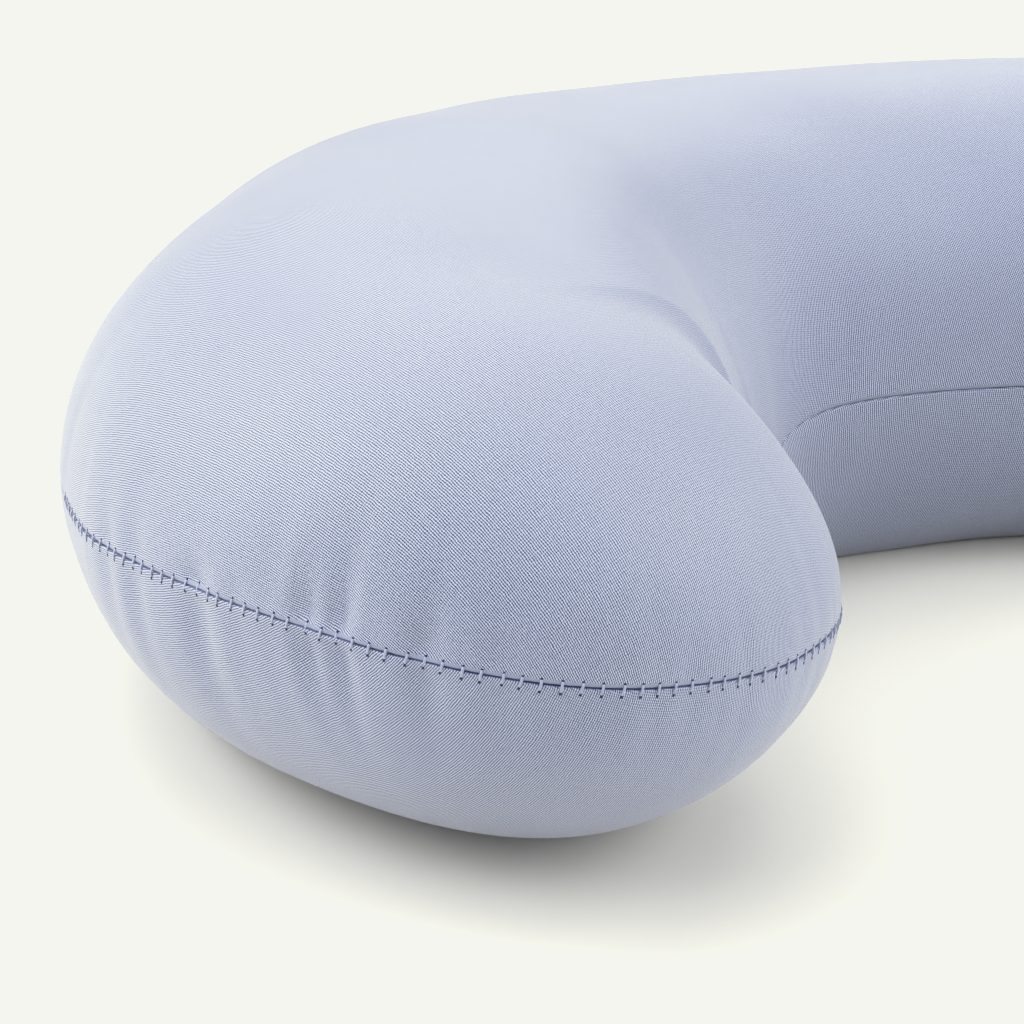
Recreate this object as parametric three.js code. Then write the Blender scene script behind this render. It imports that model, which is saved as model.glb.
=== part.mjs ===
import * as THREE from 'three';

// Wave support pillow: a top and a bottom panel of satin stretch cloth in the outline of a wave,
// closed by one seam all round the edge and filled firm.
// Millimetres, +Z up. The origin is on the floor under the middle of the pillow.
// Half of the outline is worked out from the middle of the pillow to its near end. The other half
// is the same outline turned half a round about Z, which gives the wave its two hooks. Each panel
// is then a membrane that the filling blows up from the seam.

// Driving dimensions
const HALF_SPINE = 620; // along the spine, from the middle to the centre of the rounded end
const END_REACH = 1.045; // how far the rounded end runs past its centre, over its mean half width
const END_ROUNDNESS = 2.3; // exponent of the end's outline, where 2 is an ellipse
const LOFT_WIDTH = 90; // half width of a straight stretch that has the loft given here
const LOFT = { top: 93, underside: 92 }; // rise over the seam and drop below it, before it rests
const REST_BLEND = 3; // half the height over which the flat underside turns into the curved side
const SEAM = { depth: 2, shoulder: 3 }; // groove along the seam

// The filled panels bridge the inside of the bend up to a soft line across a heading, in degrees
// from +X. The line is this far from the end's centre. The bridge fades round the end by a power
// of the share of the turn. A soft mound on the top panel stands behind it.
const BRIDGE = { heading: -12, line: 55, softness: 8, fade: 10 };
const MOUND = { along: 125, across: 80, radius: 60, rise: 12 };

// Stations along the spine, counted from the centre of the rounded end.
// heading: direction of the spine in plan, in degrees from +X
// outer, inner: half width to the seam outside and inside the hook's bend
// seamOuter, seamInner: height of the seam on each side
const STATIONS = [
  { along: 0, heading: 147, outer: 89, inner: 83.5, seamOuter: 89, seamInner: 64 },
  { along: 70, heading: 110, outer: 94, inner: 88.5, seamOuter: 78, seamInner: 62 },
  { along: 140, heading: 76, outer: 93, inner: 95, seamOuter: 69, seamInner: 60 },
  { along: 210, heading: 46, outer: 93, inner: 99, seamOuter: 72, seamInner: 61 },
  { along: 300, heading: 26, outer: 86, inner: 94, seamOuter: 68, seamInner: 73 },
  { along: 400, heading: 13, outer: 96, inner: 88, seamOuter: 74, seamInner: 73 },
  { along: HALF_SPINE, heading: -8, outer: 92, inner: 92, seamOuter: 80, seamInner: 80 },
];

// Main puckers that the seam draws into the near end.
// run: place along the seam from the middle of the end, counted towards the outside of the bend
// width, depth: of the trough; up, down: how far from the seam it is deepest, above and below it
const PUCKERS = [
  { run: 208, width: 8, depth: 1.0, up: 3, down: 10 },
  { run: 193, width: 8, depth: 2.0, up: 3, down: 10 },
  { run: 155, width: 7, depth: 1.6, up: 5, down: 8 },
  { run: 141, width: 7, depth: 1.4, up: 6, down: 8 },
  { run: 119, width: 7, depth: 1.0, up: 5, down: 6 },
  { run: 94, width: 8, depth: 0.7, up: 5, down: 5 },
  { run: 45, width: 8, depth: 0.6, up: 4, down: 6 },
];

// How finely the shape is cut into faces
const NEAR_END = { closeStep: 8, closeLength: 152, farStep: 16, capRays: 30, puckered: true };
const FAR_END = { closeStep: 14, closeLength: 154, farStep: 20, capRays: 18, puckered: false };
const BANDS = 11; // bands of faces between the spine and the seam, on each panel
const SPINE_STEP = 1; // step of the sum that lays out the spine
const SOLVER = { sweeps: 6000, tolerance: 1e-9 };

const CLOTH_COLOUR = 0xa9b2d0;
const QUARTER = Math.PI / 2;

// Slope of a column at each station. The spine may bend right up to its end. All other columns
// run level there, and everything runs level at the middle, where the turned half follows on.
function stationSlopes(column) {
  const rises = STATIONS.slice(1).map((row, i) => {
    return (row[column] - STATIONS[i][column]) / (row.along - STATIONS[i].along);
  });
  const slopes = STATIONS.map((row, i) => {
    if (i === 0 || i === STATIONS.length - 1) return 0;
    const before = row.along - STATIONS[i - 1].along;
    const after = STATIONS[i + 1].along - row.along;
    return (rises[i] * before + rises[i - 1] * after) / (before + after);
  });
  if (column === 'heading') slopes[0] = 1.5 * rises[0] - 0.5 * slopes[1];
  return slopes;
}

// Smooth curve through one column of the stations
function stationCurve(column) {
  const slopes = stationSlopes(column);
  return (along) => {
    const i = STATIONS.findLastIndex((row, k) => row.along <= along && k < STATIONS.length - 1);
    const length = STATIONS[i + 1].along - STATIONS[i].along;
    const t = (along - STATIONS[i].along) / length;
    const startWeight = 2 * t ** 3 - 3 * t ** 2 + 1;
    const startSlope = (t ** 3 - 2 * t ** 2 + t) * length;
    const endSlope = (t ** 3 - t ** 2) * length;
    return startWeight * STATIONS[i][column] + (1 - startWeight) * STATIONS[i + 1][column]
      + startSlope * slopes[i] + endSlope * slopes[i + 1];
  };
}

const at = Object.fromEntries(Object.keys(STATIONS[0]).map((column) => [column, stationCurve(column)]));

// Unit vector in plan at a heading from +X
function planDirection(degrees) {
  const heading = THREE.MathUtils.degToRad(degrees);
  return new THREE.Vector2(Math.cos(heading), Math.sin(heading));
}

// Unit vector along the spine, away from the near end
function spineDirection(along) {
  return planDirection(at.heading(along));
}

// Points of the spine, summed outwards from the middle, which is the origin
function layOutSpine() {
  const points = [new THREE.Vector2()];
  for (let along = HALF_SPINE - SPINE_STEP / 2; along > 0; along -= SPINE_STEP) {
    points.unshift(points[0].clone().addScaledVector(spineDirection(along), -SPINE_STEP));
  }
  return points;
}

const spinePoints = layOutSpine();

// How far the bridge carries the seam end of a ray on, given the bridge's share in that ray
function bridgeShift(foot, reach, share) {
  const towards = planDirection(BRIDGE.heading);
  const reached = foot.clone().add(reach).sub(spinePoints[0]).dot(towards);
  const short = (BRIDGE.line - reached) / BRIDGE.softness;
  return towards.multiplyScalar(share * BRIDGE.softness * Math.log1p(Math.exp(short)));
}

// Ray from the spine to the seam on one side: side is 1 outside the bend and -1 inside
function sideRay(along, side) {
  const direction = spineDirection(along);
  const outwards = new THREE.Vector2(-direction.y, direction.x);
  const foot = spinePoints[Math.round(along / SPINE_STEP)];
  const reach = outwards.multiplyScalar(side > 0 ? at.outer(along) : -at.inner(along));
  const shift = bridgeShift(foot, reach, side > 0 ? 0 : 1);
  return { foot, reach, shift, seam: side > 0 ? at.seamOuter(along) : at.seamInner(along) };
}

// Ray in the rounded end: turn goes from 0 at its outer corner to pi at its inner corner
function endRay(turn) {
  const outer = sideRay(0, 1);
  const inner = sideRay(0, -1);
  const share = (1 - Math.cos(turn)) / 2;
  const outwards = outer.reach.clone().normalize();
  const forwards = spineDirection(0).negate();
  const halfWidth = THREE.MathUtils.lerp(at.outer(0), at.inner(0), share);
  const length = END_REACH * (at.outer(0) + at.inner(0)) / 2;
  const power = 2 / END_ROUNDNESS;
  const across = Math.sign(Math.cos(turn)) * Math.abs(Math.cos(turn)) ** power * halfWidth;
  const reach = outwards.multiplyScalar(across).addScaledVector(forwards, length * Math.sin(turn) ** power);
  const shift = bridgeShift(outer.foot, reach, share ** BRIDGE.fade);
  return { foot: outer.foot, reach, shift, seam: THREE.MathUtils.lerp(outer.seam, inner.seam, share) };
}

// Stations at which one half of the pillow is cut, from the rounded end to the middle
function cutStations({ closeStep, closeLength, farStep }) {
  const stations = [];
  for (let along = 0; along < closeLength; along += closeStep) stations.push(along);
  for (let along = closeLength; along < HALF_SPINE - farStep / 2; along += farStep) stations.push(along);
  return [...stations, HALF_SPINE];
}

// All rays of one half: from the middle along the outside, round the end and back along the inside
function halfRays(end) {
  const stations = cutStations(end);
  const turns = Array.from({ length: end.capRays - 1 }, (_, i) => Math.PI * (i + 1) / end.capRays);
  const rays = [
    ...stations.toReversed().map((along) => sideRay(along, 1)),
    ...turns.map(endRay),
    ...stations.slice(0, -1).map((along) => sideRay(along, -1)),
  ];
  markRuns(rays, stations.length - 1 + end.capRays / 2);
  for (const ray of rays) ray.puckered = end.puckered;
  return rays;
}

// Length along the seam from the middle of the rounded end to each ray, positive on the outside
function markRuns(rays, middle) {
  const seamPoint = (ray) => ray.foot.clone().add(ray.reach).add(ray.shift);
  rays[0].run = 0;
  for (let i = 1; i < rays.length; i++) {
    rays[i].run = rays[i - 1].run - seamPoint(rays[i]).distanceTo(seamPoint(rays[i - 1]));
  }
  const zero = rays[middle].run;
  for (const ray of rays) ray.run -= zero;
}

// The same ray on the half that is turned about Z
function turnedRay(ray) {
  const turn = (vector) => vector.clone().negate();
  return { ...ray, foot: turn(ray.foot), reach: turn(ray.reach), shift: turn(ray.shift) };
}

// Edges of the bands, as shares of the reach: 0 on the spine, 1 on the seam
function bandShares() {
  const shares = Array.from({ length: BANDS - 1 }, (_, i) => Math.sin(QUARTER * i / (BANDS - 1)));
  return [...shares, Math.cos(SEAM.shoulder / LOFT.top), 1];
}

// Plan of the panel: its nodes, shared along the spine, and its triangles, seen from above
function panelPlan(rays) {
  const nodes = [];
  const spineNodes = new Map();
  const addNode = (ray, share) => {
    nodes.push({ ray, share, plan: ray.foot.clone().addScaledVector(ray.reach, share) });
    return nodes.length - 1;
  };
  const rows = rays.map((ray) => {
    const place = ray.foot.toArray().map((value) => value.toFixed(3)).join();
    if (!spineNodes.has(place)) spineNodes.set(place, addNode(ray, 0));
    return [spineNodes.get(place), ...bandShares().slice(1).map((share) => addNode(ray, share))];
  });
  const triangles = [];
  rows.forEach((here, i) => {
    const next = rows[(i + 1) % rows.length];
    for (let j = 0; j < here.length - 1; j++) {
      if (here[j] !== next[j]) triangles.push([here[j], here[j + 1], next[j]]);
      triangles.push([next[j], here[j + 1], next[j + 1]]);
    }
  });
  return { nodes, triangles };
}

// Springs of the membrane along the edges of the triangles, and the area that each node carries
function membrane({ nodes, triangles }) {
  const springs = [];
  const areas = new Float64Array(nodes.length);
  for (const corners of triangles) {
    corners.forEach((corner, k) => {
      const [second, third] = [corners[(k + 1) % 3], corners[(k + 2) % 3]];
      const a = nodes[second].plan.clone().sub(nodes[corner].plan);
      const b = nodes[third].plan.clone().sub(nodes[corner].plan);
      springs.push({ from: second, to: third, stiffness: a.dot(b) / a.cross(b) / 2 });
      areas[corner] += a.cross(b) / 6;
    });
  }
  return { springs, areas };
}

// Pull of the springs on every node
function springPull(springs, values) {
  const pull = new Float64Array(values.length);
  for (const { from, to, stiffness } of springs) {
    const tension = stiffness * (values[from] - values[to]);
    pull[from] += tension;
    pull[to] -= tension;
  }
  return pull;
}

// Heights at which the springs balance the load, by conjugate gradients. Fixed nodes stay.
function settle(springs, load, start, isFixed) {
  const values = Float64Array.from(start);
  const weight = new Float64Array(values.length);
  for (const { from, to, stiffness } of springs) {
    weight[from] += stiffness;
    weight[to] += stiffness;
  }
  const dot = (a, b) => a.reduce((sum, value, i) => sum + value * b[i], 0);
  const pull = springPull(springs, values);
  const rest = values.map((_, i) => (isFixed[i] ? 0 : load[i] - pull[i]));
  const eased = () => rest.map((value, i) => value / weight[i]);
  let step = eased();
  let energy = dot(rest, step);
  const goal = energy * SOLVER.tolerance ** 2;
  for (let sweep = 0; sweep < SOLVER.sweeps && energy > goal; sweep++) {
    const change = springPull(springs, step).map((value, i) => (isFixed[i] ? 0 : value));
    const size = energy / dot(step, change);
    for (let i = 0; i < values.length; i++) {
      values[i] += size * step[i];
      rest[i] -= size * change[i];
    }
    const next = eased();
    const nextEnergy = dot(rest, next);
    step = next.map((value, i) => value + nextEnergy / energy * step[i]);
    energy = nextEnergy;
  }
  return values;
}

// Height over the floor of a point of the underside, given its height on the unpressed shape
function pressedHeight(height) {
  if (height < -REST_BLEND) return 0;
  if (height > REST_BLEND) return height;
  return (height + REST_BLEND) ** 2 / (4 * REST_BLEND);
}

// Depth of the puckers at a ray, a given distance above (positive) or below the seam
function puckerDepth(ray, distance) {
  if (!ray.puckered) return 0;
  return PUCKERS.reduce((sum, { run, width, depth, up, down }) => {
    const along = Math.exp(-(((ray.run - run) / width) ** 2));
    const away = Math.abs(distance) / (distance > 0 ? up : down);
    return sum + depth * along * away * Math.exp(1 - away);
  }, 0);
}

// Rise of the top panel in the mound inside each of the two bends
function moundRise(share, place) {
  const centre = spinePoints[MOUND.along].clone()
    .addScaledVector(planDirection(BRIDGE.heading), MOUND.across);
  const fullness = 4 * share ** 2 * (1 - share ** 2);
  return [centre, centre.clone().negate()].reduce((sum, middle) => {
    const away = place.distanceTo(middle) / MOUND.radius;
    return sum + MOUND.rise * fullness * Math.exp(-(away ** 2));
  }, 0);
}

// Point of the skin over or under a node, drawn in along the seam and in the puckers
function skinPoint({ ray, share, plan }, height, onTop) {
  const filled = plan.clone().addScaledVector(ray.shift, share ** 2);
  const inwards = share === 1 ? SEAM.depth : puckerDepth(ray, height - ray.seam) * share;
  const place = filled.clone().addScaledVector(ray.reach.clone().normalize(), -inwards);
  return [place.x, place.y, onTop ? height + moundRise(share, filled) : height];
}

// Closed skin of both panels. They share the nodes on the seam.
function pillowGeometry() {
  const rays = [...halfRays(NEAR_END), ...halfRays(FAR_END).map(turnedRay)];
  const { nodes, triangles } = panelPlan(rays);
  const { springs, areas } = membrane({ nodes, triangles });
  const onSeam = nodes.map((node) => node.share === 1);
  const seamHeights = nodes.map((node, i) => (onSeam[i] ? node.ray.seam : 0));
  const level = settle(springs, areas.map(() => 0), seamHeights, onSeam);
  const bulge = settle(springs, areas, areas.map(() => 0), onSeam);
  const loft = bulge.map((value) => Math.sqrt(2 * Math.max(0, value)) / LOFT_WIDTH);

  const points = nodes.map((node, i) => skinPoint(node, level[i] + LOFT.top * loft[i], true));
  const undersideOf = nodes.map((node, i) => {
    if (onSeam[i]) return i;
    points.push(skinPoint(node, pressedHeight(level[i] - LOFT.underside * loft[i]), false));
    return points.length - 1;
  });
  const underside = triangles.map(([a, b, c]) => [undersideOf[a], undersideOf[c], undersideOf[b]]);

  const geometry = new THREE.BufferGeometry();
  geometry.setAttribute('position', new THREE.Float32BufferAttribute(points.flat(), 3));
  geometry.setIndex([...triangles, ...underside].flat());
  return geometry;
}

const cloth = new THREE.MeshStandardMaterial({ color: CLOTH_COLOUR, roughness: 0.55, metalness: 0 });
const pillow = new THREE.Mesh(pillowGeometry(), cloth);
pillow.name = 'pillow';

const waveSupportPillow = new THREE.Group();
waveSupportPillow.add(pillow);

export default waveSupportPillow;
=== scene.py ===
import math
from collections import namedtuple

import bpy
import numpy as np
from mathutils import Matrix, Vector


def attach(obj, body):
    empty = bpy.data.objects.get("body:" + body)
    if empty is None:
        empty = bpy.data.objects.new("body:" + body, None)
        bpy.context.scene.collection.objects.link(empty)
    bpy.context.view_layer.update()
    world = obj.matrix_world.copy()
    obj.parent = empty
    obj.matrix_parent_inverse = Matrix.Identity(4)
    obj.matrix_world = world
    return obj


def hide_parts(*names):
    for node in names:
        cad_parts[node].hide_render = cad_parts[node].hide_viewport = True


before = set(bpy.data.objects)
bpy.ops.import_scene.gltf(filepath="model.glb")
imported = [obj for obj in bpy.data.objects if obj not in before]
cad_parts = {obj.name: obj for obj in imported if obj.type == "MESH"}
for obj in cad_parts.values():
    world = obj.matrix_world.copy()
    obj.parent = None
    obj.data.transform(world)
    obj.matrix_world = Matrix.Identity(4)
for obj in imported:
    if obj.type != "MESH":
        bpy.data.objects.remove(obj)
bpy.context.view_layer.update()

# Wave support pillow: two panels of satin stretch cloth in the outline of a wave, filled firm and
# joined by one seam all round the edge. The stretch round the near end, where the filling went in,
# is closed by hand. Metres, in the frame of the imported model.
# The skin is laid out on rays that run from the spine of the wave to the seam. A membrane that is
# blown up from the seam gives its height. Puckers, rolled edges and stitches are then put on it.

# Outline of the pillow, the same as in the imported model
HALF_SPINE = 0.620  # along the spine, from the middle to the centre of a rounded end
END_REACH = 1.045  # how far the rounded end runs past its centre, over its mean half width
END_ROUNDNESS = 2.3  # exponent of the end's outline, where 2 is an ellipse
LOFT_WIDTH = 0.090  # half width of a straight stretch that has the loft given here
LOFT_TOP = 0.093
LOFT_UNDERSIDE = 0.092
REST_BLEND = 0.003  # half the height over which the flat underside turns into the curved side
SPINE_STEP = 0.001

# Stations along the spine, from the centre of the rounded end. Heading is in degrees from +X,
# outer and inner are the half widths, and the seam columns are its heights on both sides.
Station = namedtuple("Station", "along heading outer inner seam_outer seam_inner")
STATIONS = [
    Station(0.000, 147, 0.089, 0.0835, 0.089, 0.064),
    Station(0.070, 110, 0.094, 0.0885, 0.078, 0.062),
    Station(0.140, 76, 0.093, 0.095, 0.069, 0.060),
    Station(0.210, 46, 0.093, 0.099, 0.072, 0.061),
    Station(0.300, 26, 0.086, 0.094, 0.068, 0.073),
    Station(0.400, 13, 0.096, 0.088, 0.074, 0.073),
    Station(HALF_SPINE, -8, 0.092, 0.092, 0.080, 0.080),
]

# The filled panels bridge the inside of the bend up to a soft line across a heading, in degrees
# from +X. The line is this far from the end's centre. The bridge fades round the end by a power
# of the share of the turn.
BRIDGE = {"heading": -12, "line": 0.055, "softness": 0.008, "fade": 10}

# The filling also pushes the top panel up in a soft mound inside the bend
MOUND = {"along": 0.125, "across": 0.080, "radius": 0.060, "rise": 0.012}

# How finely the skin is laid out
End = namedtuple("End", "close_step close_length far_step cap_rays near")
NEAR_END = End(0.0020, 0.220, 0.0050, 140, True)
FAR_END = End(0.0050, 0.220, 0.0060, 64, False)
COARSE_RINGS = 20  # rings of the membrane
FINE_STEP = 0.0038  # distance of the rings of the skin, away from the seam
FIRST_RING = 0.00025  # distance of the first ring from the seam
RING_GROWTH = 1.22
SOLVER_SWEEPS = 6000
SOLVER_TOLERANCE = 1e-8

# How finely the cloth is laid out flat, to give the weave its place
FLAT_RAYS = 8  # one ray in so many is laid flat, and the others follow
FLAT_RINGS = 8
FLAT_ROUNDS = 12
FLAT_STIFFNESS = 0.02  # the least that a spring of the flat cloth has

# Closing seam: the edges roll inwards, and the top panel's edge is the thicker one
ROLL_TOP = 0.0017
ROLL_UNDERSIDE = 0.0010
SEAM_DEPTH = 0.0014
HAND_CLOSED = (-0.060, 0.290)  # stretch of the near end's seam that is closed by hand, as runs

# Main puckers at the near end. Run is the place along the seam from the middle of the end, counted
# towards the outside of the bend. Up and down say how far from the seam a pucker is deepest.
Pucker = namedtuple("Pucker", "run width depth up down lean")
PUCKERS = [
    Pucker(0.238, 0.0040, 0.0010, 0.003, 0.009, 0.00),
    Pucker(0.222, 0.0045, 0.0008, 0.003, 0.009, 0.00),
    Pucker(0.193, 0.0055, 0.0022, 0.003, 0.010, 0.00),
    Pucker(0.176, 0.0040, 0.0007, 0.003, 0.009, 0.00),
    Pucker(0.1525, 0.0036, 0.0026, 0.005, 0.008, -0.15),
    Pucker(0.141, 0.0038, 0.0024, 0.006, 0.008, -0.10),
    Pucker(0.1165, 0.0045, 0.0016, 0.005, 0.006, -0.10),
    Pucker(0.096, 0.0050, 0.0007, 0.005, 0.005, 0.00),
    Pucker(0.075, 0.0050, 0.0005, 0.005, 0.005, 0.00),
    Pucker(0.045, 0.0055, 0.0006, 0.004, 0.006, 0.00),
]

# Small puckers along the seam, drawn by the stitches. The part closed by hand has more of them.
SMALL_PUCKERS = {"seed": 7, "spacing": 0.021, "depth": 0.00045, "width": 0.0035, "reach": 0.010}
HAND_PUCKERS = {"seed": 19, "spacing": 0.0078, "depth": 0.00042, "width": 0.0022, "reach": 0.006}
PUCKER_JITTER = 0.4  # of a spacing
PUCKER_RANGES = {"width": (0.7, 1.8), "depth": (0.1, 1.0), "reach": (0.6, 1.8)}

# Soft unevenness of the filling
LUMPS = {"seed": 3, "waves": 14, "length": 0.085, "height": 0.0006}
LUMP_LENGTHS = (0.6, 1.6)  # shares of that length

# Stitches across the seam: how far they reach up and down from it, half the section's width and
# height, and how far their middle stands off the cloth
STITCH_PITCH = 0.0051
STITCH = {"up": 0.00140, "down": 0.00170, "width": 0.00037, "height": 0.00022, "lift": 0.00030}
STITCH_LEAN = 0.00033  # how far along the seam a stitch's ends stand from its middle
STITCH_UNEVENNESS = {"seed": 11, "place": 0.08, "lean": 0.00012}
STITCH_STEPS = 9
STITCH_SIDES = 8

# Needle holes, drawn as thin dark pieces whose colour is painted shade of the holes: how far from the
# seam they lie, and how long the thread has pulled them
Hole = namedtuple("Hole", "away length")
HOLES = [Hole(0.00155, 0.00055), Hole(-0.00190, 0.00105)]
HOLE_SIZE = {"width": 0.00036, "height": 0.00008, "proud": 0.00002, "steps": 4, "sides": 6}

# Camera, from the outline and the seam in the photograph
CAMERA_LENS_MM = 85.24
CAMERA_DISTANCE = 0.9211
CAMERA_PITCH = math.radians(22.87)
CAMERA_ROLL = math.radians(2.37)
END_FROM_TARGET = np.array([0.002836, -0.221881])  # centre of the near end, from the camera's target

QUARTER = math.pi / 2


# A smooth curve through values at given places. The slopes inside are those of a parabola through
# three neighbours, and so are the slopes at the ends unless they are given.
def smooth_curve(places, values, wanted, first_slope=None, last_slope=None):
    columns = (-1,) + (1,) * (values.ndim - 1)
    gaps = np.diff(places).reshape(columns)
    rises = np.diff(values, axis=0) / gaps
    slopes = np.empty_like(values, dtype=float)
    slopes[1:-1] = (rises[1:] * gaps[:-1] + rises[:-1] * gaps[1:]) / (gaps[:-1] + gaps[1:])
    slopes[0] = 1.5 * rises[0] - 0.5 * slopes[1] if first_slope is None else first_slope
    slopes[-1] = 1.5 * rises[-1] - 0.5 * slopes[-2] if last_slope is None else last_slope
    i = np.clip(np.searchsorted(places, wanted, side="right") - 1, 0, len(places) - 2)
    t = ((wanted - places[i]) / np.diff(places)[i]).reshape(columns)
    start = 2 * t**3 - 3 * t**2 + 1
    curve = start * values[i] + (1 - start) * values[i + 1]
    return curve + gaps[i] * ((t**3 - 2 * t**2 + t) * slopes[i] + (t**3 - t**2) * slopes[i + 1])


def unit(degrees):
    return np.array([math.cos(math.radians(degrees)), math.sin(math.radians(degrees))])


def station_values(column, along):
    places = np.array([row.along for row in STATIONS])
    values = np.array([getattr(row, column) for row in STATIONS], dtype=float)
    first_slope = None if column == "heading" else 0
    return smooth_curve(places, values, np.asarray(along, dtype=float), first_slope, 0)


# Unit vectors along the spine, away from the near end
def spine_direction(along):
    heading = np.radians(station_values("heading", along))
    return np.stack([np.cos(heading), np.sin(heading)], axis=-1)


# Points of the spine every SPINE_STEP, from the centre of the near end to the middle of the pillow
def lay_out_spine():
    steps = round(HALF_SPINE / SPINE_STEP)
    middles = HALF_SPINE - (np.arange(steps) + 0.5) * SPINE_STEP
    points = np.vstack([np.zeros(2), np.cumsum(-SPINE_STEP * spine_direction(middles), axis=0)])
    return points[::-1]


SPINE = lay_out_spine()


def spine_point(along):
    marks = np.arange(len(SPINE)) * SPINE_STEP
    return np.stack([np.interp(along, marks, SPINE[:, k]) for k in range(2)], axis=-1)


# Rays from the spine to the seam on one side: side is 1 outside the bend and -1 inside
def side_rays(along, side):
    direction = spine_direction(along)
    outwards = np.stack([-direction[:, 1], direction[:, 0]], axis=1)
    width = station_values("outer" if side > 0 else "inner", along)
    seam = station_values("seam_outer" if side > 0 else "seam_inner", along)
    bridged = np.full(len(along), 0.0 if side > 0 else 1.0)
    return spine_point(along), side * outwards * width[:, None], seam, bridged


# Rays round the end: turn goes from 0 at its outer corner to pi at its inner corner
def end_rays(turn):
    first = STATIONS[0]
    direction = spine_direction(np.array([0.0]))[0]
    outwards = np.array([-direction[1], direction[0]])
    share = (1 - np.cos(turn)) / 2
    half_width = first.outer + (first.inner - first.outer) * share
    length = END_REACH * (first.outer + first.inner) / 2
    power = 2 / END_ROUNDNESS
    across = np.sign(np.cos(turn)) * np.abs(np.cos(turn)) ** power * half_width
    forwards = length * np.sin(turn) ** power
    reach = across[:, None] * outwards - forwards[:, None] * direction
    bridged = share ** BRIDGE["fade"]
    seam = first.seam_outer + (first.seam_inner - first.seam_outer) * share
    return np.repeat(SPINE[:1], len(turn), axis=0), reach, seam, bridged


# All rays of one half: from the middle along the outside, round the end and back along the inside
def half_rays(end):
    close = np.arange(0, end.close_length - end.close_step / 2, end.close_step)
    far = np.arange(end.close_length, HALF_SPINE - end.far_step / 2, end.far_step)
    along = np.concatenate([close, far, [HALF_SPINE]])
    turn = math.pi * np.arange(1, end.cap_rays) / end.cap_rays
    sections = [side_rays(along[::-1], 1), end_rays(turn), side_rays(along[:-1], -1)]
    foot, reach, seam, bridged = (np.concatenate(parts) for parts in zip(*sections))
    towards = unit(BRIDGE["heading"])
    short = (BRIDGE["line"] - (foot + reach - SPINE[0]) @ towards) / BRIDGE["softness"]
    shift = (bridged * BRIDGE["softness"] * np.log1p(np.exp(short)))[:, None] * towards
    edge = foot + reach + shift
    gone = np.concatenate([[0], np.cumsum(np.linalg.norm(np.diff(edge, axis=0), axis=1))])
    run = gone[len(along) - 1 + end.cap_rays // 2] - gone
    near = np.full(len(run), end.near)
    corner = np.zeros(len(run), dtype=bool)
    corner[[len(along) - 1, len(along) - 1 + end.cap_rays]] = True
    return {
        "foot": foot, "reach": reach, "shift": shift, "seam": seam,
        "run": run, "near": near, "corner": corner,
    }


def all_rays():
    near = half_rays(NEAR_END)
    far = half_rays(FAR_END)
    for name in ("foot", "reach", "shift"):
        far[name] = -far[name]
    rays = {name: np.concatenate([near[name], far[name]]) for name in near}
    edge = np.column_stack([rays["foot"] + rays["reach"] + rays["shift"], rays["seam"]])
    pieces = np.linalg.norm(np.roll(edge, -1, axis=0) - edge, axis=1)
    rays["length"] = np.concatenate([[0], np.cumsum(pieces)])
    return rays


# Node numbers of a sheet of rays and rings: ring 0 is shared where rays start at the same point
def node_numbers(foot, rings):
    _, spine_node = np.unique(np.round(foot, 7), axis=0, return_inverse=True)
    spine_node = spine_node.ravel()
    shared = spine_node.max() + 1
    numbers = shared + np.arange(len(foot) * (rings - 1)).reshape(len(foot), rings - 1)
    return np.column_stack([spine_node, numbers])


# Triangles of a sheet, seen from above, as node numbers
def sheet_triangles(numbers):
    here, after = numbers, np.roll(numbers, -1, axis=0)
    first = np.stack([here[:, :-1], here[:, 1:], after[:, :-1]], axis=-1).reshape(-1, 3)
    second = np.stack([after[:, :-1], here[:, 1:], after[:, 1:]], axis=-1).reshape(-1, 3)
    triangles = np.concatenate([first, second])
    return triangles[triangles[:, 0] != triangles[:, 2]]


# Stiffness of the springs along the edges opposite each corner of the triangles
def corner_stiffness(points, triangles):
    stiffness = np.empty(triangles.shape)
    for k in range(3):
        a = points[triangles[:, (k + 1) % 3]] - points[triangles[:, k]]
        b = points[triangles[:, (k + 2) % 3]] - points[triangles[:, k]]
        dot = (a * b).sum(axis=1)
        double_area = np.sqrt(np.maximum((a * a).sum(axis=1) * (b * b).sum(axis=1) - dot**2, 1e-24))
        stiffness[:, k] = dot / double_area / 2
    return stiffness, double_area / 2


# Values at which springs balance a load, by conjugate gradients. Fixed nodes keep their values.
def settle(springs, load, start, fixed):
    tail, head, stiffness = springs
    count = len(load)

    def pull(values):
        tension = stiffness * (values[tail] - values[head])
        return np.bincount(tail, tension, count) - np.bincount(head, tension, count)

    weight = np.bincount(tail, stiffness, count) + np.bincount(head, stiffness, count)
    values = start.astype(float).copy()
    rest = np.where(fixed, 0, load - pull(values))
    step = rest / weight
    energy = rest @ step
    goal = energy * SOLVER_TOLERANCE**2
    for _ in range(SOLVER_SWEEPS):
        if energy <= goal:
            break
        change = np.where(fixed, 0, pull(step))
        size = energy / (step @ change)
        values += size * step
        rest -= size * change
        eased = rest / weight
        next_energy = rest @ eased
        step = eased + next_energy / energy * step
        energy = next_energy
    return values


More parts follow.
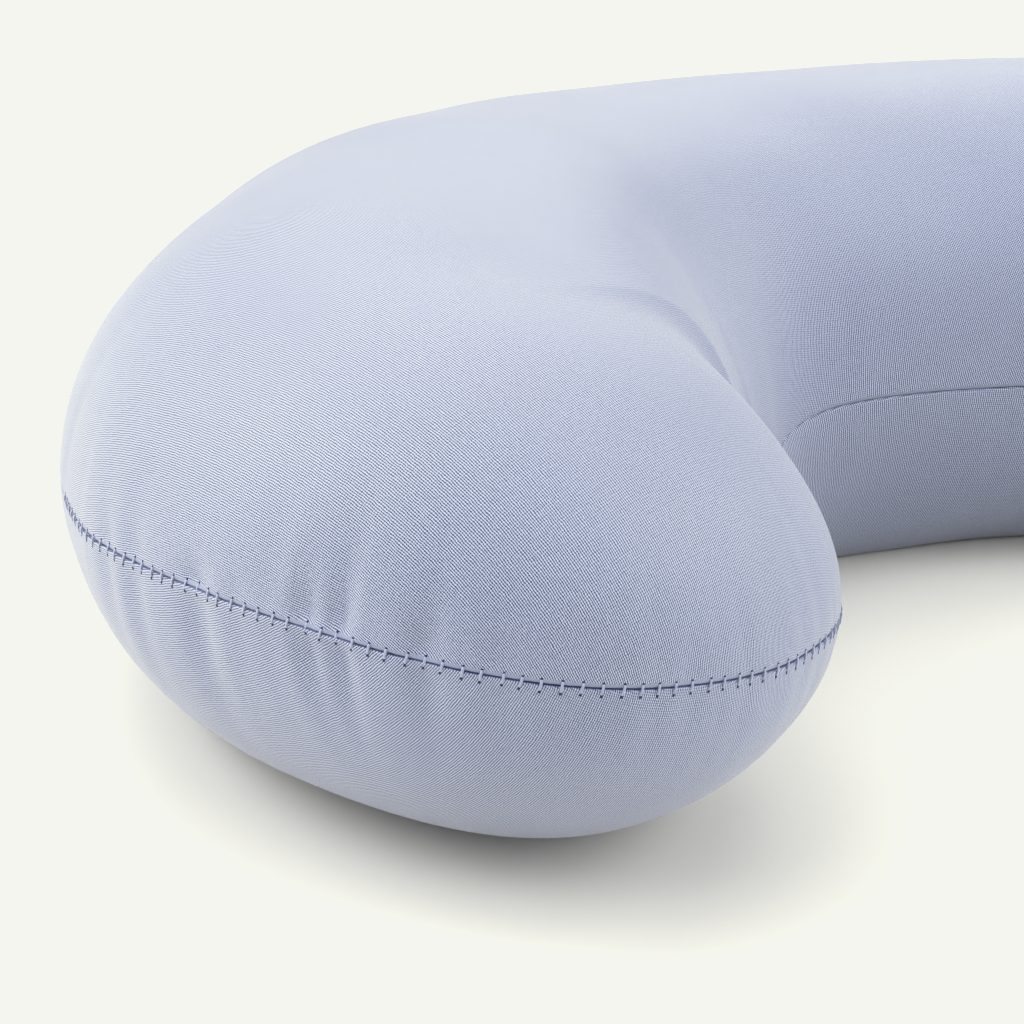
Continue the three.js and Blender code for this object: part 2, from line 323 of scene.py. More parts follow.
# Height of the seam's level and loft of the blown-up membrane, on the coarse rings of every ray
def blow_up(rays, angles):
    numbers = node_numbers(rays["foot"], len(angles))
    plan = np.zeros((numbers.max() + 1, 2))
    plan[numbers] = rays["foot"][:, None] + rays["reach"][:, None] * np.cos(angles)[None, :, None]
    triangles = sheet_triangles(numbers)
    stiffness, areas = corner_stiffness(plan, triangles)
    tail = np.concatenate([triangles[:, (k + 1) % 3] for k in range(3)])
    head = np.concatenate([triangles[:, (k + 2) % 3] for k in range(3)])
    springs = tail, head, stiffness.T.ravel()
    load = np.bincount(triangles.ravel(), np.repeat(areas / 3, 3), len(plan))
    fixed = np.zeros(len(plan), dtype=bool)
    fixed[numbers[:, -1]] = True
    seam_heights = np.zeros(len(plan))
    seam_heights[numbers[:, -1]] = rays["seam"]
    level = settle(springs, np.zeros(len(plan)), seam_heights, fixed)
    bulge = settle(springs, load, np.zeros(len(plan)), fixed)
    loft = np.sqrt(2 * np.maximum(bulge, 0)) / LOFT_WIDTH
    return level[numbers], loft[numbers], numbers


# Ring angles of the skin: fine next to the seam and even over the rest
def fine_angles():
    distances = [0.0]
    step = FIRST_RING
    while distances[-1] < LOFT_TOP * QUARTER - 1.5 * FINE_STEP:
        distances.append(distances[-1] + step)
        step = min(step * RING_GROWTH, FINE_STEP)
    angles = np.array(distances + [LOFT_TOP * QUARTER]) / LOFT_TOP
    angles[-1] = QUARTER
    return angles[::-1]


# Height over the floor of the underside, given its height on the unpressed shape
def pressed_height(height):
    blended = (height + REST_BLEND) ** 2 / (4 * REST_BLEND)
    return np.where(height < -REST_BLEND, 0, np.where(height > REST_BLEND, height, blended))


# Slope through three values at steps before and after the middle one
def middle_slope(before, middle, after, step_before, step_after):
    falling = (middle - before) / step_before
    rising = (after - middle) / step_after
    return (falling * step_after + rising * step_before) / (step_before + step_after)


# Slope of the values where each ray starts, per radian. Rays from one point of the spine share the
# gradient there, so that the skin has no crease along the spine.
def spine_slopes(rays, values, numbers, first_angle):
    reach, foot = rays["reach"], rays["foot"]
    size = np.linalg.norm(reach, axis=1)
    steps = size * math.cos(first_angle)
    order = np.argsort(numbers[:, 0], kind="stable")
    groups = np.split(order, np.flatnonzero(np.diff(numbers[order, 0])) + 1)
    slopes = np.zeros(len(foot))
    for group in groups:
        first, last = group[0], group[-1]
        middle = values[first, 0]
        across = middle_slope(values[last, 1], middle, values[first, 1], steps[last], steps[first])
        gradient = across * reach[first] / size[first]
        if len(group) > 2:
            ahead = group[len(group) // 2]
            back = np.linalg.norm(foot[first - 1] - foot[first])
            along = middle_slope(values[first - 1, 0], middle, values[ahead, 1], back, steps[ahead])
            gradient = gradient + along * reach[ahead] / size[ahead]
        slopes[group] = -reach[group] @ gradient
    return slopes


# Height of the mound inside the bends, at places in plan
def mound_rise(rays, plan):
    centre = spine_point(MOUND["along"]) + MOUND["across"] * unit(BRIDGE["heading"])
    side = np.where(rays["near"], 1, -1)[:, None, None]
    away = np.linalg.norm(plan - side * centre, axis=2)
    return MOUND["rise"] * np.exp(-((away / MOUND["radius"]) ** 2))


# Smooth skins of the top and the underside as grids of points, ray by ray from spine to seam
def smooth_skins(rays):
    coarse = QUARTER * (1 - np.arange(COARSE_RINGS + 1) / COARSE_RINGS)
    level, loft, numbers = blow_up(rays, coarse)
    fine = fine_angles()
    slopes = [spine_slopes(rays, values, numbers, coarse[1]) for values in (level, loft)]
    level = smooth_curve(coarse[::-1], level.T[::-1], fine[::-1], 0, slopes[0])[::-1].T
    loft = smooth_curve(coarse[::-1], loft.T[::-1], fine[::-1], None, slopes[1])[::-1].T
    away = np.cos(fine)[None, :, None]
    plan = rays["foot"][:, None] + rays["reach"][:, None] * away + rays["shift"][:, None] * away**2
    rise = mound_rise(rays, plan) * np.sin(2 * fine) ** 2
    top = np.dstack([plan, level + LOFT_TOP * loft + rise])
    under = np.dstack([plan, pressed_height(level - LOFT_UNDERSIDE * loft)])
    return top, under


# Distance from the seam along the skin
def seam_distance(skin):
    pieces = np.linalg.norm(np.diff(skin, axis=1), axis=2)
    return np.cumsum(np.column_stack([pieces, np.zeros(len(skin))])[:, ::-1], axis=1)[:, ::-1]


# Unit vectors out of the skin
def outward(skin, above):
    along_ray = np.gradient(skin, axis=1)
    across = (np.roll(skin, -1, axis=0) - np.roll(skin, 1, axis=0)) / 2
    normal = np.cross(along_ray, across)
    normal /= np.linalg.norm(normal, axis=2, keepdims=True) + 1e-12
    turned = np.sign(normal[:, 1:2, 2:3]) * (1 if above else -1)
    normal *= np.where(turned == 0, 1, turned)
    normal[:, 0] = (0, 0, 1 if above else -1)
    return normal


# Depth of the rolled edge below the smooth skin
def roll_depth(distance, radius):
    share = np.clip(1 - distance / radius, 0, 1)
    return SEAM_DEPTH * (1 - np.sqrt(1 - share**2))


def pucker_shape(away):
    return away * np.exp(1 - away)


# Where the stretch that is closed by hand starts and ends, as lengths along the seam
def hand_closed_lengths(rays):
    middle = np.argmin(np.abs(rays["run"]) + np.where(rays["near"], 0, 1))
    return [rays["length"][middle] - run for run in HAND_CLOSED[::-1]]


# Depth of puckers scattered along a stretch of the seam
def scattered_puckers(rays, distance, sizes, start, end):
    draw = np.random.default_rng(sizes["seed"])
    total = rays["length"][-1]
    length = rays["length"][:-1, None]
    depth = np.zeros_like(distance)
    for place in np.arange(start, end, sizes["spacing"]):
        centre = place + draw.normal(0, PUCKER_JITTER) * sizes["spacing"]
        width, strength, reach = (
            sizes[name] * draw.uniform(*PUCKER_RANGES[name]) for name in ("width", "depth", "reach")
        )
        gap = np.abs(length - centre)
        gap = np.minimum(gap, total - gap)
        depth += strength * np.exp(-((gap / width) ** 2)) * pucker_shape(distance / reach)
    return depth


# Depth of all puckers at each point of a skin
def pucker_depth(rays, distance, above):
    run = rays["run"][:, None]
    depth = np.zeros_like(distance)
    for row in PUCKERS:
        along = np.exp(-(((run - row.run - row.lean * distance) / row.width) ** 2))
        away = distance / (row.up if above else row.down)
        depth += row.depth * along * pucker_shape(away) * rays["near"][:, None]
    depth += scattered_puckers(rays, distance, SMALL_PUCKERS, 0, rays["length"][-1])
    start, end = hand_closed_lengths(rays)
    depth += scattered_puckers(rays, distance, HAND_PUCKERS, start, end)
    return depth


# Soft lumps of the filling, as the sum of a few waves through the space of the pillow
def lump_height(points):
    draw = np.random.default_rng(LUMPS["seed"])
    height = np.zeros(points.shape[:2])
    for _ in range(LUMPS["waves"]):
        direction = draw.normal(size=3)
        direction /= np.linalg.norm(direction)
        length = LUMPS["length"] * draw.uniform(*LUMP_LENGTHS)
        height += np.sin(points @ direction * (2 * math.pi / length) + draw.uniform(0, 2 * math.pi))
    return height * LUMPS["height"] / math.sqrt(LUMPS["waves"] / 2)


# Skin with its lumps, puckers and rolled edge
def worked_skin(rays, smooth, above):
    distance = seam_distance(smooth)
    depth = pucker_depth(rays, distance, above)
    depth += roll_depth(distance, ROLL_TOP if above else ROLL_UNDERSIDE)
    depth -= lump_height(smooth)
    skin = smooth - outward(smooth, above) * depth[:, :, None]
    skin[:, :, 2] = np.maximum(skin[:, :, 2], 0)
    return skin, distance


# The cloth of a panel laid flat: every triangle keeps its own size as nearly as it can
def flat_pattern(points, triangles, start):
    stiffness, _ = corner_stiffness(points, triangles)
    stiffness = np.maximum(stiffness, FLAT_STIFFNESS)
    corners = [points[triangles[:, k]] for k in range(3)]
    first = corners[1] - corners[0]
    x_axis = first / np.linalg.norm(first, axis=1, keepdims=True)
    normal = np.cross(first, corners[2] - corners[0])
    y_axis = np.cross(normal / np.linalg.norm(normal, axis=1, keepdims=True), x_axis)
    local = [
        np.stack([((corner - corners[0]) * axis).sum(axis=1) for axis in (x_axis, y_axis)], axis=1)
        for corner in corners
    ]
    count = len(start)
    matrix = np.zeros((count, count))
    edges = []
    for k in range(3):
        a, b = triangles[:, (k + 1) % 3], triangles[:, (k + 2) % 3]
        edges.append((a, b, local[(k + 1) % 3] - local[(k + 2) % 3], stiffness[:, k]))
        for i, j, sign in ((a, a, 1), (b, b, 1), (a, b, -1), (b, a, -1)):
            np.add.at(matrix, (i, j), sign * stiffness[:, k])
    matrix[0, 0] += 1
    inverse = np.linalg.inv(matrix)
    flat = start.copy()
    for _ in range(FLAT_ROUNDS):
        spread = np.zeros((len(triangles), 2, 2))
        for a, b, edge, weight in edges:
            spread += weight[:, None, None] * (flat[a] - flat[b])[:, :, None] * edge[:, None, :]
        angle = np.arctan2(spread[:, 1, 0] - spread[:, 0, 1], spread[:, 0, 0] + spread[:, 1, 1])
        cos, sin = np.cos(angle), np.sin(angle)
        load = np.zeros((count, 2))
        load[0] = start[0]
        for a, b, edge, weight in edges:
            turned_x = cos * edge[:, 0] - sin * edge[:, 1]
            turned_y = sin * edge[:, 0] + cos * edge[:, 1]
            turned = np.stack([turned_x, turned_y], axis=1) * weight[:, None]
            np.add.at(load, a, turned)
            np.add.at(load, b, -turned)
        flat = inverse @ load
    return flat


# Values for all rays from those of a few, with a fresh curve from each corner of an end to the next
def spread_round(rays, chosen, values):
    count = len(rays["run"])
    corners = np.flatnonzero(rays["corner"])
    order = (corners[0] + np.arange(count + 1)) % count
    total = rays["length"][-1]
    places = np.mod(rays["length"][order] - rays["length"][corners[0]], total)
    places[-1] = total
    row = np.full(count, -1)
    row[chosen] = np.arange(len(chosen))
    breaks = np.flatnonzero(rays["corner"][order])
    spread = np.empty((count,) + values.shape[1:])
    for start, end in zip(breaks[:-1], breaks[1:]):
        part = np.arange(start, end + 1)
        known = part[row[order[part]] >= 0]
        spread[order[part]] = smooth_curve(places[known], values[row[order[known]]], places[part])
    return spread


# Place of every point of a skin on the flat cloth
def cloth_places(rays, smooth):
    count = len(smooth)
    chosen = np.union1d(np.arange(0, count, FLAT_RAYS), np.flatnonzero(rays["corner"]))
    fine = fine_angles()
    coarse = QUARTER * (1 - np.arange(FLAT_RINGS + 1) / FLAT_RINGS)
    sampled = smooth_curve(fine[::-1], smooth[chosen].transpose(1, 0, 2)[::-1], coarse[::-1])[::-1]
    sampled = sampled.transpose(1, 0, 2)
    numbers = node_numbers(rays["foot"][chosen], FLAT_RINGS + 1)
    points = np.zeros((numbers.max() + 1, 3))
    points[numbers] = sampled
    triangles = sheet_triangles(numbers)
    flat = flat_pattern(points, triangles, points[:, :2])[numbers]
    rings = smooth_curve(coarse[::-1], flat.transpose(1, 0, 2)[::-1], fine[::-1])[::-1]
    return spread_round(rays, chosen, rings.transpose(1, 0, 2))


# Mesh of both skins, with the place on the flat cloth and the place along the seam at each corner
def pillow_mesh(rays, skins):
    top, under = skins["top"], skins["under"]
    rings = top["points"].shape[1]
    numbers = node_numbers(rays["foot"], rings)
    count = numbers.max() + 1
    lower = numbers + count
    lower[:, -1] = numbers[:, -1]
    points = np.zeros((2 * count, 3))
    points[numbers] = top["points"]
    points[lower[:, :-1]] = under["points"][:, :-1]
    keep = np.unique(np.concatenate([numbers.ravel(), lower.ravel()]))
    renumber = np.full(2 * count, -1)
    renumber[keep] = np.arange(len(keep))

    rays_here = np.arange(len(numbers))
    rays_after = (rays_here + 1) % len(numbers)
    faces, cloth, along_seam = [], [], []
    for skin, table, above in ((top, numbers, True), (under, lower, False)):
        sign = 1 if above else -1
        for j in range(rings - 1):
            corners = [
                (rays_here, j, 0), (rays_here, j + 1, 0),
                (rays_after, j + 1, 1), (rays_after, j, 1),
            ]
            if not above:
                corners = corners[::-1]
            nodes = np.stack([table[ray, ring] for ray, ring, _ in corners], axis=1)
            flat = np.stack([skin["cloth"][ray, ring] for ray, ring, _ in corners], axis=1)
            place = np.stack([
                np.stack([rays["length"][rays_here + late], sign * skin["distance"][ray, ring]], axis=1)
                for ray, ring, late in corners
            ], axis=1)
            for i in range(len(nodes)):
                distinct = [k for k in range(4) if nodes[i, k] != nodes[i, (k + 1) % 4]]
                faces.append(renumber[nodes[i, distinct]].tolist())
                cloth.append(flat[i, distinct])
                along_seam.append(place[i, distinct])
    mesh = bpy.data.meshes.new("pillow_cover")
    mesh.from_pydata(points[keep].tolist(), [], faces)
    for name, values in (("weave", cloth), ("seam", along_seam)):
        layer = mesh.uv_layers.new(name=name)
        layer.data.foreach_set("uv", np.concatenate(values).astype(np.float32).ravel())
    mesh.polygons.foreach_set("use_smooth", np.ones(len(faces), dtype=bool))
    mesh.update()
    return mesh


# Points of the worked skin at places along the seam and signed distances from it, up positive
def skin_places(rays, skins, length, distance):
    length = np.mod(length, rays["length"][-1])
    ray = np.clip(np.searchsorted(rays["length"], length, side="right") - 1, 0, len(rays["run"]) - 1)
    share = (length - rays["length"][ray]) / (rays["length"][ray + 1] - rays["length"][ray])
    found = np.empty((len(length), 3))
    for i, (r, s, d) in enumerate(zip(ray, share, distance)):
        skin = skins["top"] if d >= 0 else skins["under"]
        ends = []
        for q in (r, (r + 1) % len(rays["run"])):
            rings = skin["distance"][q, ::-1]
            ends.append([np.interp(abs(d), rings, skin["points"][q, ::-1, k]) for k in range(3)])
        found[i] = (1 - s) * np.array(ends[0]) + s * np.array(ends[1])
    return found


# Joined mesh of tubes with flattened sections, from their centre lines and outward vectors
def tube_mesh(name, lines, outwards, half_width, half_height, sides):
    turns = 2 * math.pi * np.arange(sides) / sides
    points, faces = [], []
    for line, out in zip(lines, outwards):
        ahead = np.gradient(line, axis=0)
        ahead /= np.linalg.norm(ahead, axis=1, keepdims=True)
        side = np.cross(ahead, out)
        side /= np.linalg.norm(side, axis=1, keepdims=True)
        up = np.cross(side, ahead)
        base = sum(len(p) for p in points)
        ring = side[:, None] * (half_width * np.cos(turns))[None, :, None]
        ring = ring + up[:, None] * (half_height * np.sin(turns))[None, :, None]
        points.append((line[:, None] + ring).reshape(-1, 3))
        for i in range(len(line) - 1):
            for k in range(sides):
                a, b = base + i * sides + k, base + i * sides + (k + 1) % sides
                faces.append([a, b, b + sides, a + sides])
        faces.append([base + k for k in range(sides)][::-1])
        faces.append([base + (len(line) - 1) * sides + k for k in range(sides)])
    mesh = bpy.data.meshes.new(name)
    mesh.from_pydata(np.concatenate(points).tolist(), [], faces)
    mesh.polygons.foreach_set("use_smooth", np.ones(len(faces), dtype=bool))
    mesh.update()
    return mesh


# Places of the ladder stitches along the seam, a little uneven, and how far their ends lean
def stitch_places(rays):
    start, end = hand_closed_lengths(rays)
    count = round((end - start) / STITCH_PITCH)
    draw = np.random.default_rng(STITCH_UNEVENNESS["seed"])
    off, lean = STITCH_UNEVENNESS["place"], STITCH_UNEVENNESS["lean"]
    places = start + (np.arange(count) + draw.uniform(-off, off, count)) * STITCH_PITCH
    return places, STITCH_LEAN + draw.uniform(-lean, lean, count)


# Outward vectors of the edge at places along the seam
def edge_outwards(rays, length):
    direction = rays["reach"] / np.linalg.norm(rays["reach"], axis=1, keepdims=True)
    direction = np.concatenate([direction, direction[:1]])
    found = np.stack([np.interp(length, rays["length"], direction[:, k]) for k in range(2)], axis=1)
    found /= np.linalg.norm(found, axis=1, keepdims=True)
    return np.column_stack([found, np.zeros(len(found))])


def add_piece(name, mesh, material):
    piece = bpy.data.objects.new(name, mesh)
    bpy.context.scene.collection.objects.link(piece)
    mesh.materials.append(material)
    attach(piece, "root")
    return piece


# Ladder stitches: each bows over the gap from its upper to its lower end, and sinks in at both
def make_stitches(rays, skins, material):
    places, leans = stitch_places(rays)
    out = edge_outwards(rays, places)
    ends = [
        skin_places(rays, skins, places + side * leans, np.full(len(places), away))
        for side, away in ((1, STITCH["up"]), (-1, -STITCH["down"]))
    ]
    share = np.linspace(0, 1, STITCH_STEPS)
    bow = STITCH["lift"] * np.maximum(np.sin(math.pi * share), 0) ** 0.5
    lifts = bow - STITCH["height"] * np.abs(2 * share - 1) ** 4
    lines = []
    for upper, lower, outwards in zip(*ends, out):
        lines.append(upper + (lower - upper) * share[:, None] + outwards * lifts[:, None])
    mesh = tube_mesh("ladder_stitches", lines, out, STITCH["width"], STITCH["height"], STITCH_SIDES)
    return add_piece("ladder_stitches", mesh, material)


# Needle holes at both ends of every stitch: thin dark pieces just proud of the cloth, whose colour is
# painted shade of the holes
def make_hole_shade_pieces(rays, skins, material):
    places, leans = stitch_places(rays)
    out = edge_outwards(rays, places)
    lines = []
    for hole in HOLES:
        ends = []
        for away in (hole.away - hole.length / 2, hole.away + hole.length / 2):
            length = places + leans * away / abs(hole.away)
            ends.append(skin_places(rays, skins, length, np.full(len(places), away)))
        for start, end, outwards in zip(*ends, out):
            lines.append(np.linspace(start, end, HOLE_SIZE["steps"]) + outwards * HOLE_SIZE["proud"])
    outwards = np.tile(out, (len(HOLES), 1))
    width, height, sides = (HOLE_SIZE[name] for name in ("width", "height", "sides"))
    mesh = tube_mesh("needle_hole_shade_pieces", lines, outwards, width, height, sides)
    return add_piece("needle_hole_shade_pieces", mesh, material)


# Small helpers for node materials
class Nodes:
    def __init__(self, name):
        self.material = bpy.data.materials.new(name)
        self.material.use_nodes = True
        self.tree = self.material.node_tree
        self.shader = self.tree.nodes["Principled BSDF"]

    def add(self, kind, **settings):
        node = self.tree.nodes.new(kind)
        for name, value in settings.items():
            setattr(node, name, value)
        return node

    def link(self, output, socket):
        self.tree.links.new(output, socket)

    def put(self, socket, value):
        if isinstance(value, bpy.types.NodeSocket):
            self.link(value, socket)
        else:
            socket.default_value = value

    def maths(self, operation, *values):
        node = self.add("ShaderNodeMath", operation=operation)
        for socket, value in zip(node.inputs, values):
            self.put(socket, value)
        return node.outputs[0]

    def ramp(self, value, low, high, to_low=0.0, to_high=1.0):
        node = self.add("ShaderNodeMapRange", interpolation_type="SMOOTHSTEP")
        for socket, content in zip(node.inputs, (value, low, high, to_low, to_high)):
            self.put(socket, content)
        return node.outputs[0]

    def mix(self, share, first, second):
        node = self.add("ShaderNodeMix", data_type="RGBA")
        self.put(node.inputs["Factor"], share)
        self.put(node.inputs[6], first)
        self.put(node.inputs[7], second)
        return node.outputs[2]

    def noise(self, place, scale, detail=2.0):
        node = self.add("ShaderNodeTexNoise")
        self.link(place, node.inputs["Vector"])
        node.inputs["Scale"].default_value = scale
        node.inputs["Detail"].default_value = detail
        return node.outputs[0]

    # Noise that is spread evenly about zero
    def wobble(self, place, row):
        noise = self.noise(place, row.scale, row.detail)
        return self.maths("MULTIPLY_ADD", noise, row.spread, -row.spread / 2)

    def bump(self, height, distance):
        node = self.add("ShaderNodeBump")
        node.inputs["Strength"].default_value = 1.0
        node.inputs["Distance"].default_value = distance
        self.link(height, node.inputs["Height"])
        return node.outputs[0]

    def set_values(self, values):
        for name, value in values.items():
            self.shader.inputs[name].default_value = value


# Ribs and yarns of a panel: pitch, and heading of the way across them on the flat cloth, in
# degrees from +X
Weave = namedtuple("Weave", "rib_pitch rib_heading yarn_pitch yarn_heading")
TOP_WEAVE = Weave(0.00064, 39, 0.00072, -51)
UNDERSIDE_WEAVE = Weave(0.00068, 24, 0.00074, -66)
RIB_EDGES = (0.15, 0.85)  # shares of a rib's wave between which it rises from dark to light
YARN_CONTRAST = 0.54  # of a rib's

# Unevenness of the weave: the first two move its phase, in radians, and the others its tone
Wobble = namedtuple("Wobble", "scale detail spread")
BROAD_WANDER = Wobble(60.0, 2.0, 2.2)
FINE_WANDER = Wobble(460.0, 2.0, 5.6)
GRAIN = Wobble(1100.0, 3.0, 0.50)
TONE = Wobble(14.0, 2.0, 0.12)

RIB_LIGHT = (0.384, 0.432, 0.592, 1)
RIB_DARK = (0.029, 0.037, 0.075, 1)
MEAN_SHARE = 0.49  # share of the light colour where the weave doesn't show
PLAIN_BAND = (0.0011, 0.0019)  # the weave starts between these distances above the seam
RELIEF = {"depth": 0.00006, "yarn": 0.4, "grain": 0.5}
ROUGHNESS = (0.34, 0.20)  # the least, and how much more the grain adds
CLOTH_FINISH = {
    "Specular IOR Level": 0.35,
    "Sheen Weight": 0.30,
    "Sheen Roughness": 0.45,
    "Sheen Tint": (1.0, 0.97, 0.93, 1),
}

# Half the width of the seam's gap, whose darkness is painted shade of the groove: sewn by machine, and
# what hand stitches add to it
GAP_SHADE_EDGE = (0.00014, 0.00021)
GAP_SHADE_CORE = 0.4  # share of it that is fully dark
GAP_SHADE_COLOUR = (0.030, 0.045, 0.150, 1)

# Fibres of the thread and of the shade in the holes: scale of the noise and its two colours
THREAD_FIBRES = (2600.0, (0.21, 0.24, 0.36, 1), (0.27, 0.305, 0.43, 1))
THREAD_RELIEF = 0.00004
HOLE_SHADE_FIBRES = (2200.0, (0.012, 0.018, 0.06, 1), (0.03, 0.04, 0.11, 1))
DULL_FINISH = {"Roughness": 0.9, "Specular IOR Level": 0.1}


# Wave over the flat cloth, from 0 to 1, with its phase moved by a wander. Top and underside are
# the pitch and the heading of the wave on the two panels.
def thread_wave(nodes, split, under, top, underside, wander):
    phase = wander
    for axis in (0, 1):
        turns = [2 * math.pi / pitch * unit(heading)[axis] for pitch, heading in (top, underside)]
        rate = nodes.maths("MULTIPLY_ADD", under, turns[1] - turns[0], turns[0])
        phase = nodes.maths("MULTIPLY_ADD", split.outputs[axis], rate, phase)
    return nodes.maths("MULTIPLY_ADD", nodes.maths("SINE", phase), 0.5, 0.5)


# Share of the painted shade of the seam's groove at a distance from the seam. It is wider where hand
# stitches hold it.
def painted_gap_shade(nodes, rays, length, away):
    start, end = hand_closed_lengths(rays)
    after_start = nodes.maths("GREATER_THAN", length, start)
    by_hand = nodes.maths("MULTIPLY", after_start, nodes.maths("LESS_THAN", length, end))
    edge = nodes.maths("MULTIPLY_ADD", by_hand, GAP_SHADE_EDGE[1], GAP_SHADE_EDGE[0])
    return nodes.ramp(away, nodes.maths("MULTIPLY", edge, GAP_SHADE_CORE), edge, 1.0, 0.0)


def cloth_material(rays):
    nodes = Nodes("satin_twill")
    weave = nodes.add("ShaderNodeUVMap", uv_map="weave").outputs[0]
    split = nodes.add("ShaderNodeSeparateXYZ")
    nodes.link(weave, split.inputs[0])
    place = nodes.add("ShaderNodeSeparateXYZ")
    nodes.link(nodes.add("ShaderNodeUVMap", uv_map="seam").outputs[0], place.inputs[0])
    length, distance = place.outputs[0], place.outputs[1]
    under = nodes.maths("LESS_THAN", distance, 0.0)

    wander = nodes.maths("ADD", nodes.wobble(weave, BROAD_WANDER), nodes.wobble(weave, FINE_WANDER))
    rib = thread_wave(nodes, split, under, TOP_WEAVE[:2], UNDERSIDE_WEAVE[:2], wander)
    rib = nodes.ramp(rib, *RIB_EDGES)
    yarn = thread_wave(nodes, split, under, TOP_WEAVE[2:], UNDERSIDE_WEAVE[2:], wander)
    shown = nodes.maths("MAXIMUM", nodes.ramp(distance, *PLAIN_BAND), under)

    grain = nodes.noise(weave, GRAIN.scale, GRAIN.detail)
    share = nodes.maths("MULTIPLY_ADD", yarn, YARN_CONTRAST, -YARN_CONTRAST / 2)
    grain_share = nodes.maths("MULTIPLY_ADD", grain, GRAIN.spread, -GRAIN.spread / 2)
    share = nodes.maths("ADD", grain_share, share)
    share = nodes.maths("ADD", share, nodes.maths("ADD", nodes.wobble(weave, TONE), rib))
    share = nodes.maths("MULTIPLY_ADD", nodes.maths("SUBTRACT", share, 0.5), shown, MEAN_SHARE)
    colour = nodes.mix(share, RIB_DARK, RIB_LIGHT)
    # Base colour turns dark navy along the seam: painted shade of the groove between the rolled edges
    gap = painted_gap_shade(nodes, rays, length, nodes.maths("ABSOLUTE", distance))
    nodes.link(nodes.mix(gap, colour, GAP_SHADE_COLOUR), nodes.shader.inputs["Base Color"])

    height = nodes.maths("ADD", rib, nodes.maths("MULTIPLY", yarn, RELIEF["yarn"]))
    height = nodes.maths("ADD", height, nodes.maths("MULTIPLY", grain, RELIEF["grain"]))
    normal = nodes.bump(nodes.maths("MULTIPLY", height, shown), RELIEF["depth"])
    nodes.link(normal, nodes.shader.inputs["Normal"])
    least, added = ROUGHNESS
    roughness = nodes.maths("MULTIPLY_ADD", grain, added, least)
    nodes.link(roughness, nodes.shader.inputs["Roughness"])
    nodes.set_values(CLOTH_FINISH)
    return nodes.material


# Fine noise through the space of a piece, and the mix of two colours by it
def fibre_colour(nodes, scale, first, second):
    coordinates = nodes.add("ShaderNodeTexCoord").outputs["Object"]
    fibres = nodes.noise(coordinates, scale)
    nodes.link(nodes.mix(fibres, first, second), nodes.shader.inputs["Base Color"])
    return fibres


def thread_material():
    nodes = Nodes("sewing_thread")
    fibres = fibre_colour(nodes, *THREAD_FIBRES)
    nodes.link(nodes.bump(fibres, THREAD_RELIEF), nodes.shader.inputs["Normal"])
    nodes.set_values({"Roughness": 0.5, "Sheen Weight": 0.3})
    return nodes.material


def hole_shade_material():
    nodes = Nodes("needle_hole_shade")
    # Near-black navy: painted shade inside the needle holes
    fibre_colour(nodes, *HOLE_SHADE_FIBRES)
    nodes.set_values(DULL_FINISH)
    return nodes.material


FLOOR_SIZE = 12.0
PAPER_FIBRES = (300.0, (0.68, 0.67, 0.62, 1), (0.69, 0.68, 0.63, 1))


def make_floor():
    mesh = bpy.data.meshes.new("studio_floor")
    half = FLOOR_SIZE / 2
    corners = [(-half, -half, 0), (half, -half, 0), (half, half, 0), (-half, half, 0)]
    mesh.from_pydata(corners, [], [(0, 1, 2, 3)])
    floor = bpy.data.objects.new("studio_floor", mesh)
    bpy.context.scene.collection.objects.link(floor)
    nodes = Nodes("studio_paper")
    fibre_colour(nodes, *PAPER_FIBRES)
    nodes.set_values(DULL_FINISH)
    mesh.materials.append(nodes.material)


# Soft studio light: a large softbox on either side, others behind and overhead. Azimuth 0 comes
# from behind the pillow (+Y) and 90 from the right (+X).
Lamp = namedtuple("Lamp", "name azimuth elevation strength")
LAMPS = [
    Lamp("right_softbox", 86, 28, 2.65),
    Lamp("front_right_softbox", 135, 28, 0.85),
    Lamp("front_high_softbox", 180, 58, 0.35),
    Lamp("left_softbox", 270, 28, 3.64),
    Lamp("left_back_softbox", 315, 28, 0.75),
    Lamp("back_softbox", 3, 47, 1.65),
    Lamp("left_high_softbox", 252, 58, 1.60),
    Lamp("overhead_softbox", 0, 90, 1.20),
]
LAMP_SPREAD = math.radians(55)
WORLD_STRENGTH = 0.03


def make_lights():
    for row in LAMPS:
        data = bpy.data.lights.new(row.name, "SUN")
        data.energy = row.strength
        data.angle = LAMP_SPREAD
        lamp = bpy.data.objects.new(row.name, data)
        azimuth, elevation = math.radians(row.azimuth), math.radians(row.elevation)
        level = math.cos(elevation)
        towards = Vector((math.sin(azimuth) * level, math.cos(azimuth) * level, math.sin(elevation)))
        lamp.rotation_euler = towards.to_track_quat("Z", "Y").to_euler()
        bpy.context.scene.collection.objects.link(lamp)
    world = bpy.data.worlds.new("studio")
    world.use_nodes = True
    backdrop = world.node_tree.nodes["Background"]
    backdrop.inputs["Color"].default_value = (1, 1, 1, 1)
    backdrop.inputs["Strength"].default_value = WORLD_STRENGTH
    bpy.context.scene.world = world


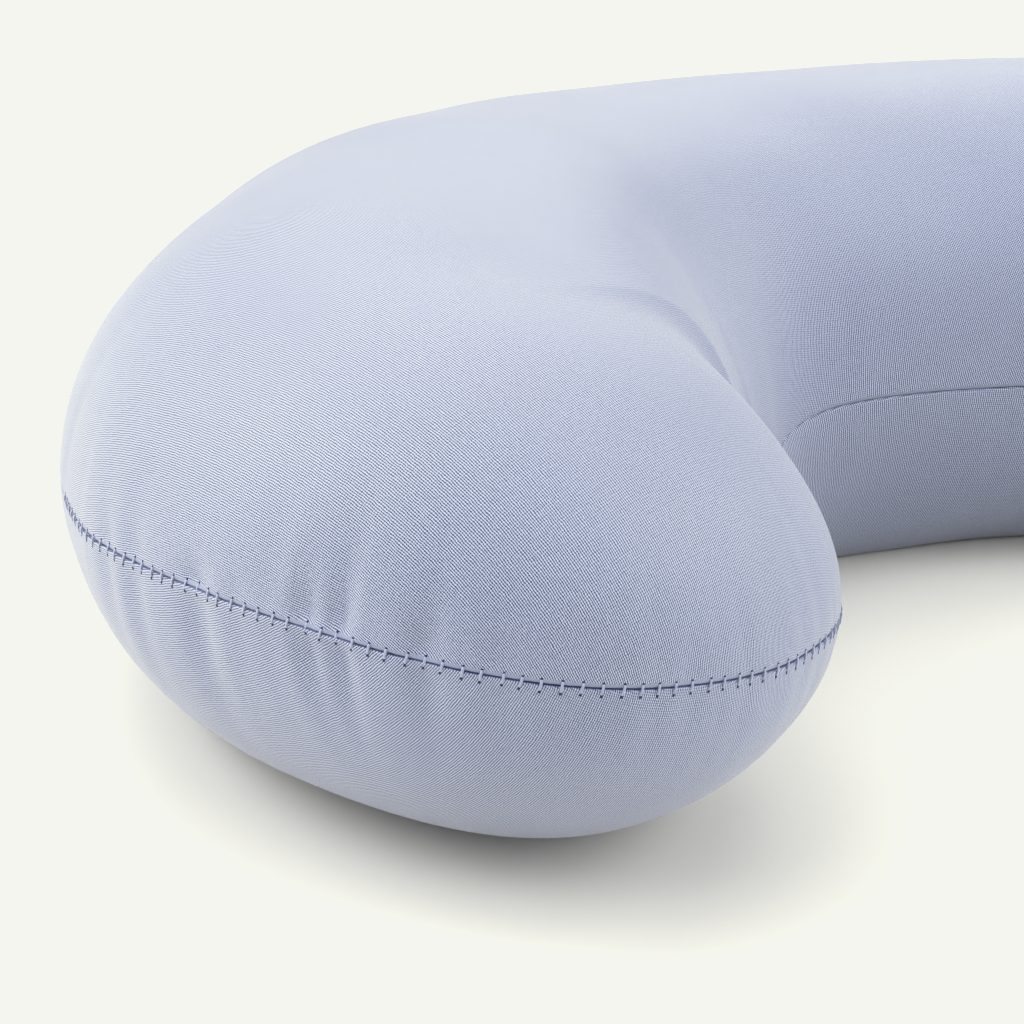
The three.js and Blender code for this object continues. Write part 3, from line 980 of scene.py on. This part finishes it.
# Bright paper comes out as one even pale tone, as in a high-key product photograph
PAPER_TONE = (0.905, 0.913, 0.863)
TONE_SHOULDER = 0.80  # where the curve has started to bend down to the paper's tone
SHOULDER_EASE = 0.4  # share of the whole drop that it has taken there
STRAIGHT_TONES = (0.6, 0.3)  # these come out unchanged


def set_exposure():
    view = bpy.context.scene.view_settings
    view.view_transform = "Standard"
    view.use_curve_mapping = True
    mapping = view.curve_mapping
    mapping.extend = "HORIZONTAL"
    mapping.use_clip = False
    for curve, tone in zip(mapping.curves, PAPER_TONE):
        curve.points[-1].location = (1.0, tone)
        curve.points.new(TONE_SHOULDER, TONE_SHOULDER - SHOULDER_EASE * (1 - tone))
        for straight in STRAIGHT_TONES:
            curve.points.new(straight, straight)
    mapping.update()


def make_camera():
    target = SPINE[0] - END_FROM_TARGET
    back = CAMERA_DISTANCE * math.cos(CAMERA_PITCH)
    height = CAMERA_DISTANCE * math.sin(CAMERA_PITCH)
    data = bpy.data.cameras.new("photo_camera")
    data.lens = CAMERA_LENS_MM
    data.clip_start = 0.05
    camera = bpy.data.objects.new("photo_camera", data)
    place = Matrix.Translation((target[0], target[1] - back, height))
    tilt = Matrix.Rotation(QUARTER - CAMERA_PITCH, 4, "X")
    camera.matrix_world = place @ tilt @ Matrix.Rotation(CAMERA_ROLL, 4, "Z")
    bpy.context.scene.collection.objects.link(camera)
    bpy.context.scene.camera = camera


def make_pillow():
    rays = all_rays()
    smooth = dict(zip(("top", "under"), smooth_skins(rays)))
    skins = {}
    for name, skin in smooth.items():
        points, distance = worked_skin(rays, skin, name == "top")
        skins[name] = {"points": points, "distance": distance, "cloth": cloth_places(rays, skin)}
    edge = (skins["top"]["points"][:, -1] + skins["under"]["points"][:, -1]) / 2
    for skin in skins.values():
        skin["points"][:, -1] = edge
    cover = add_piece("pillow_cover", pillow_mesh(rays, skins), cloth_material(rays))
    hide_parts("pillow")
    make_stitches(rays, skins, thread_material())
    make_hole_shade_pieces(rays, skins, hole_shade_material())


make_camera()
make_floor()
make_lights()
make_pillow()
set_exposure()
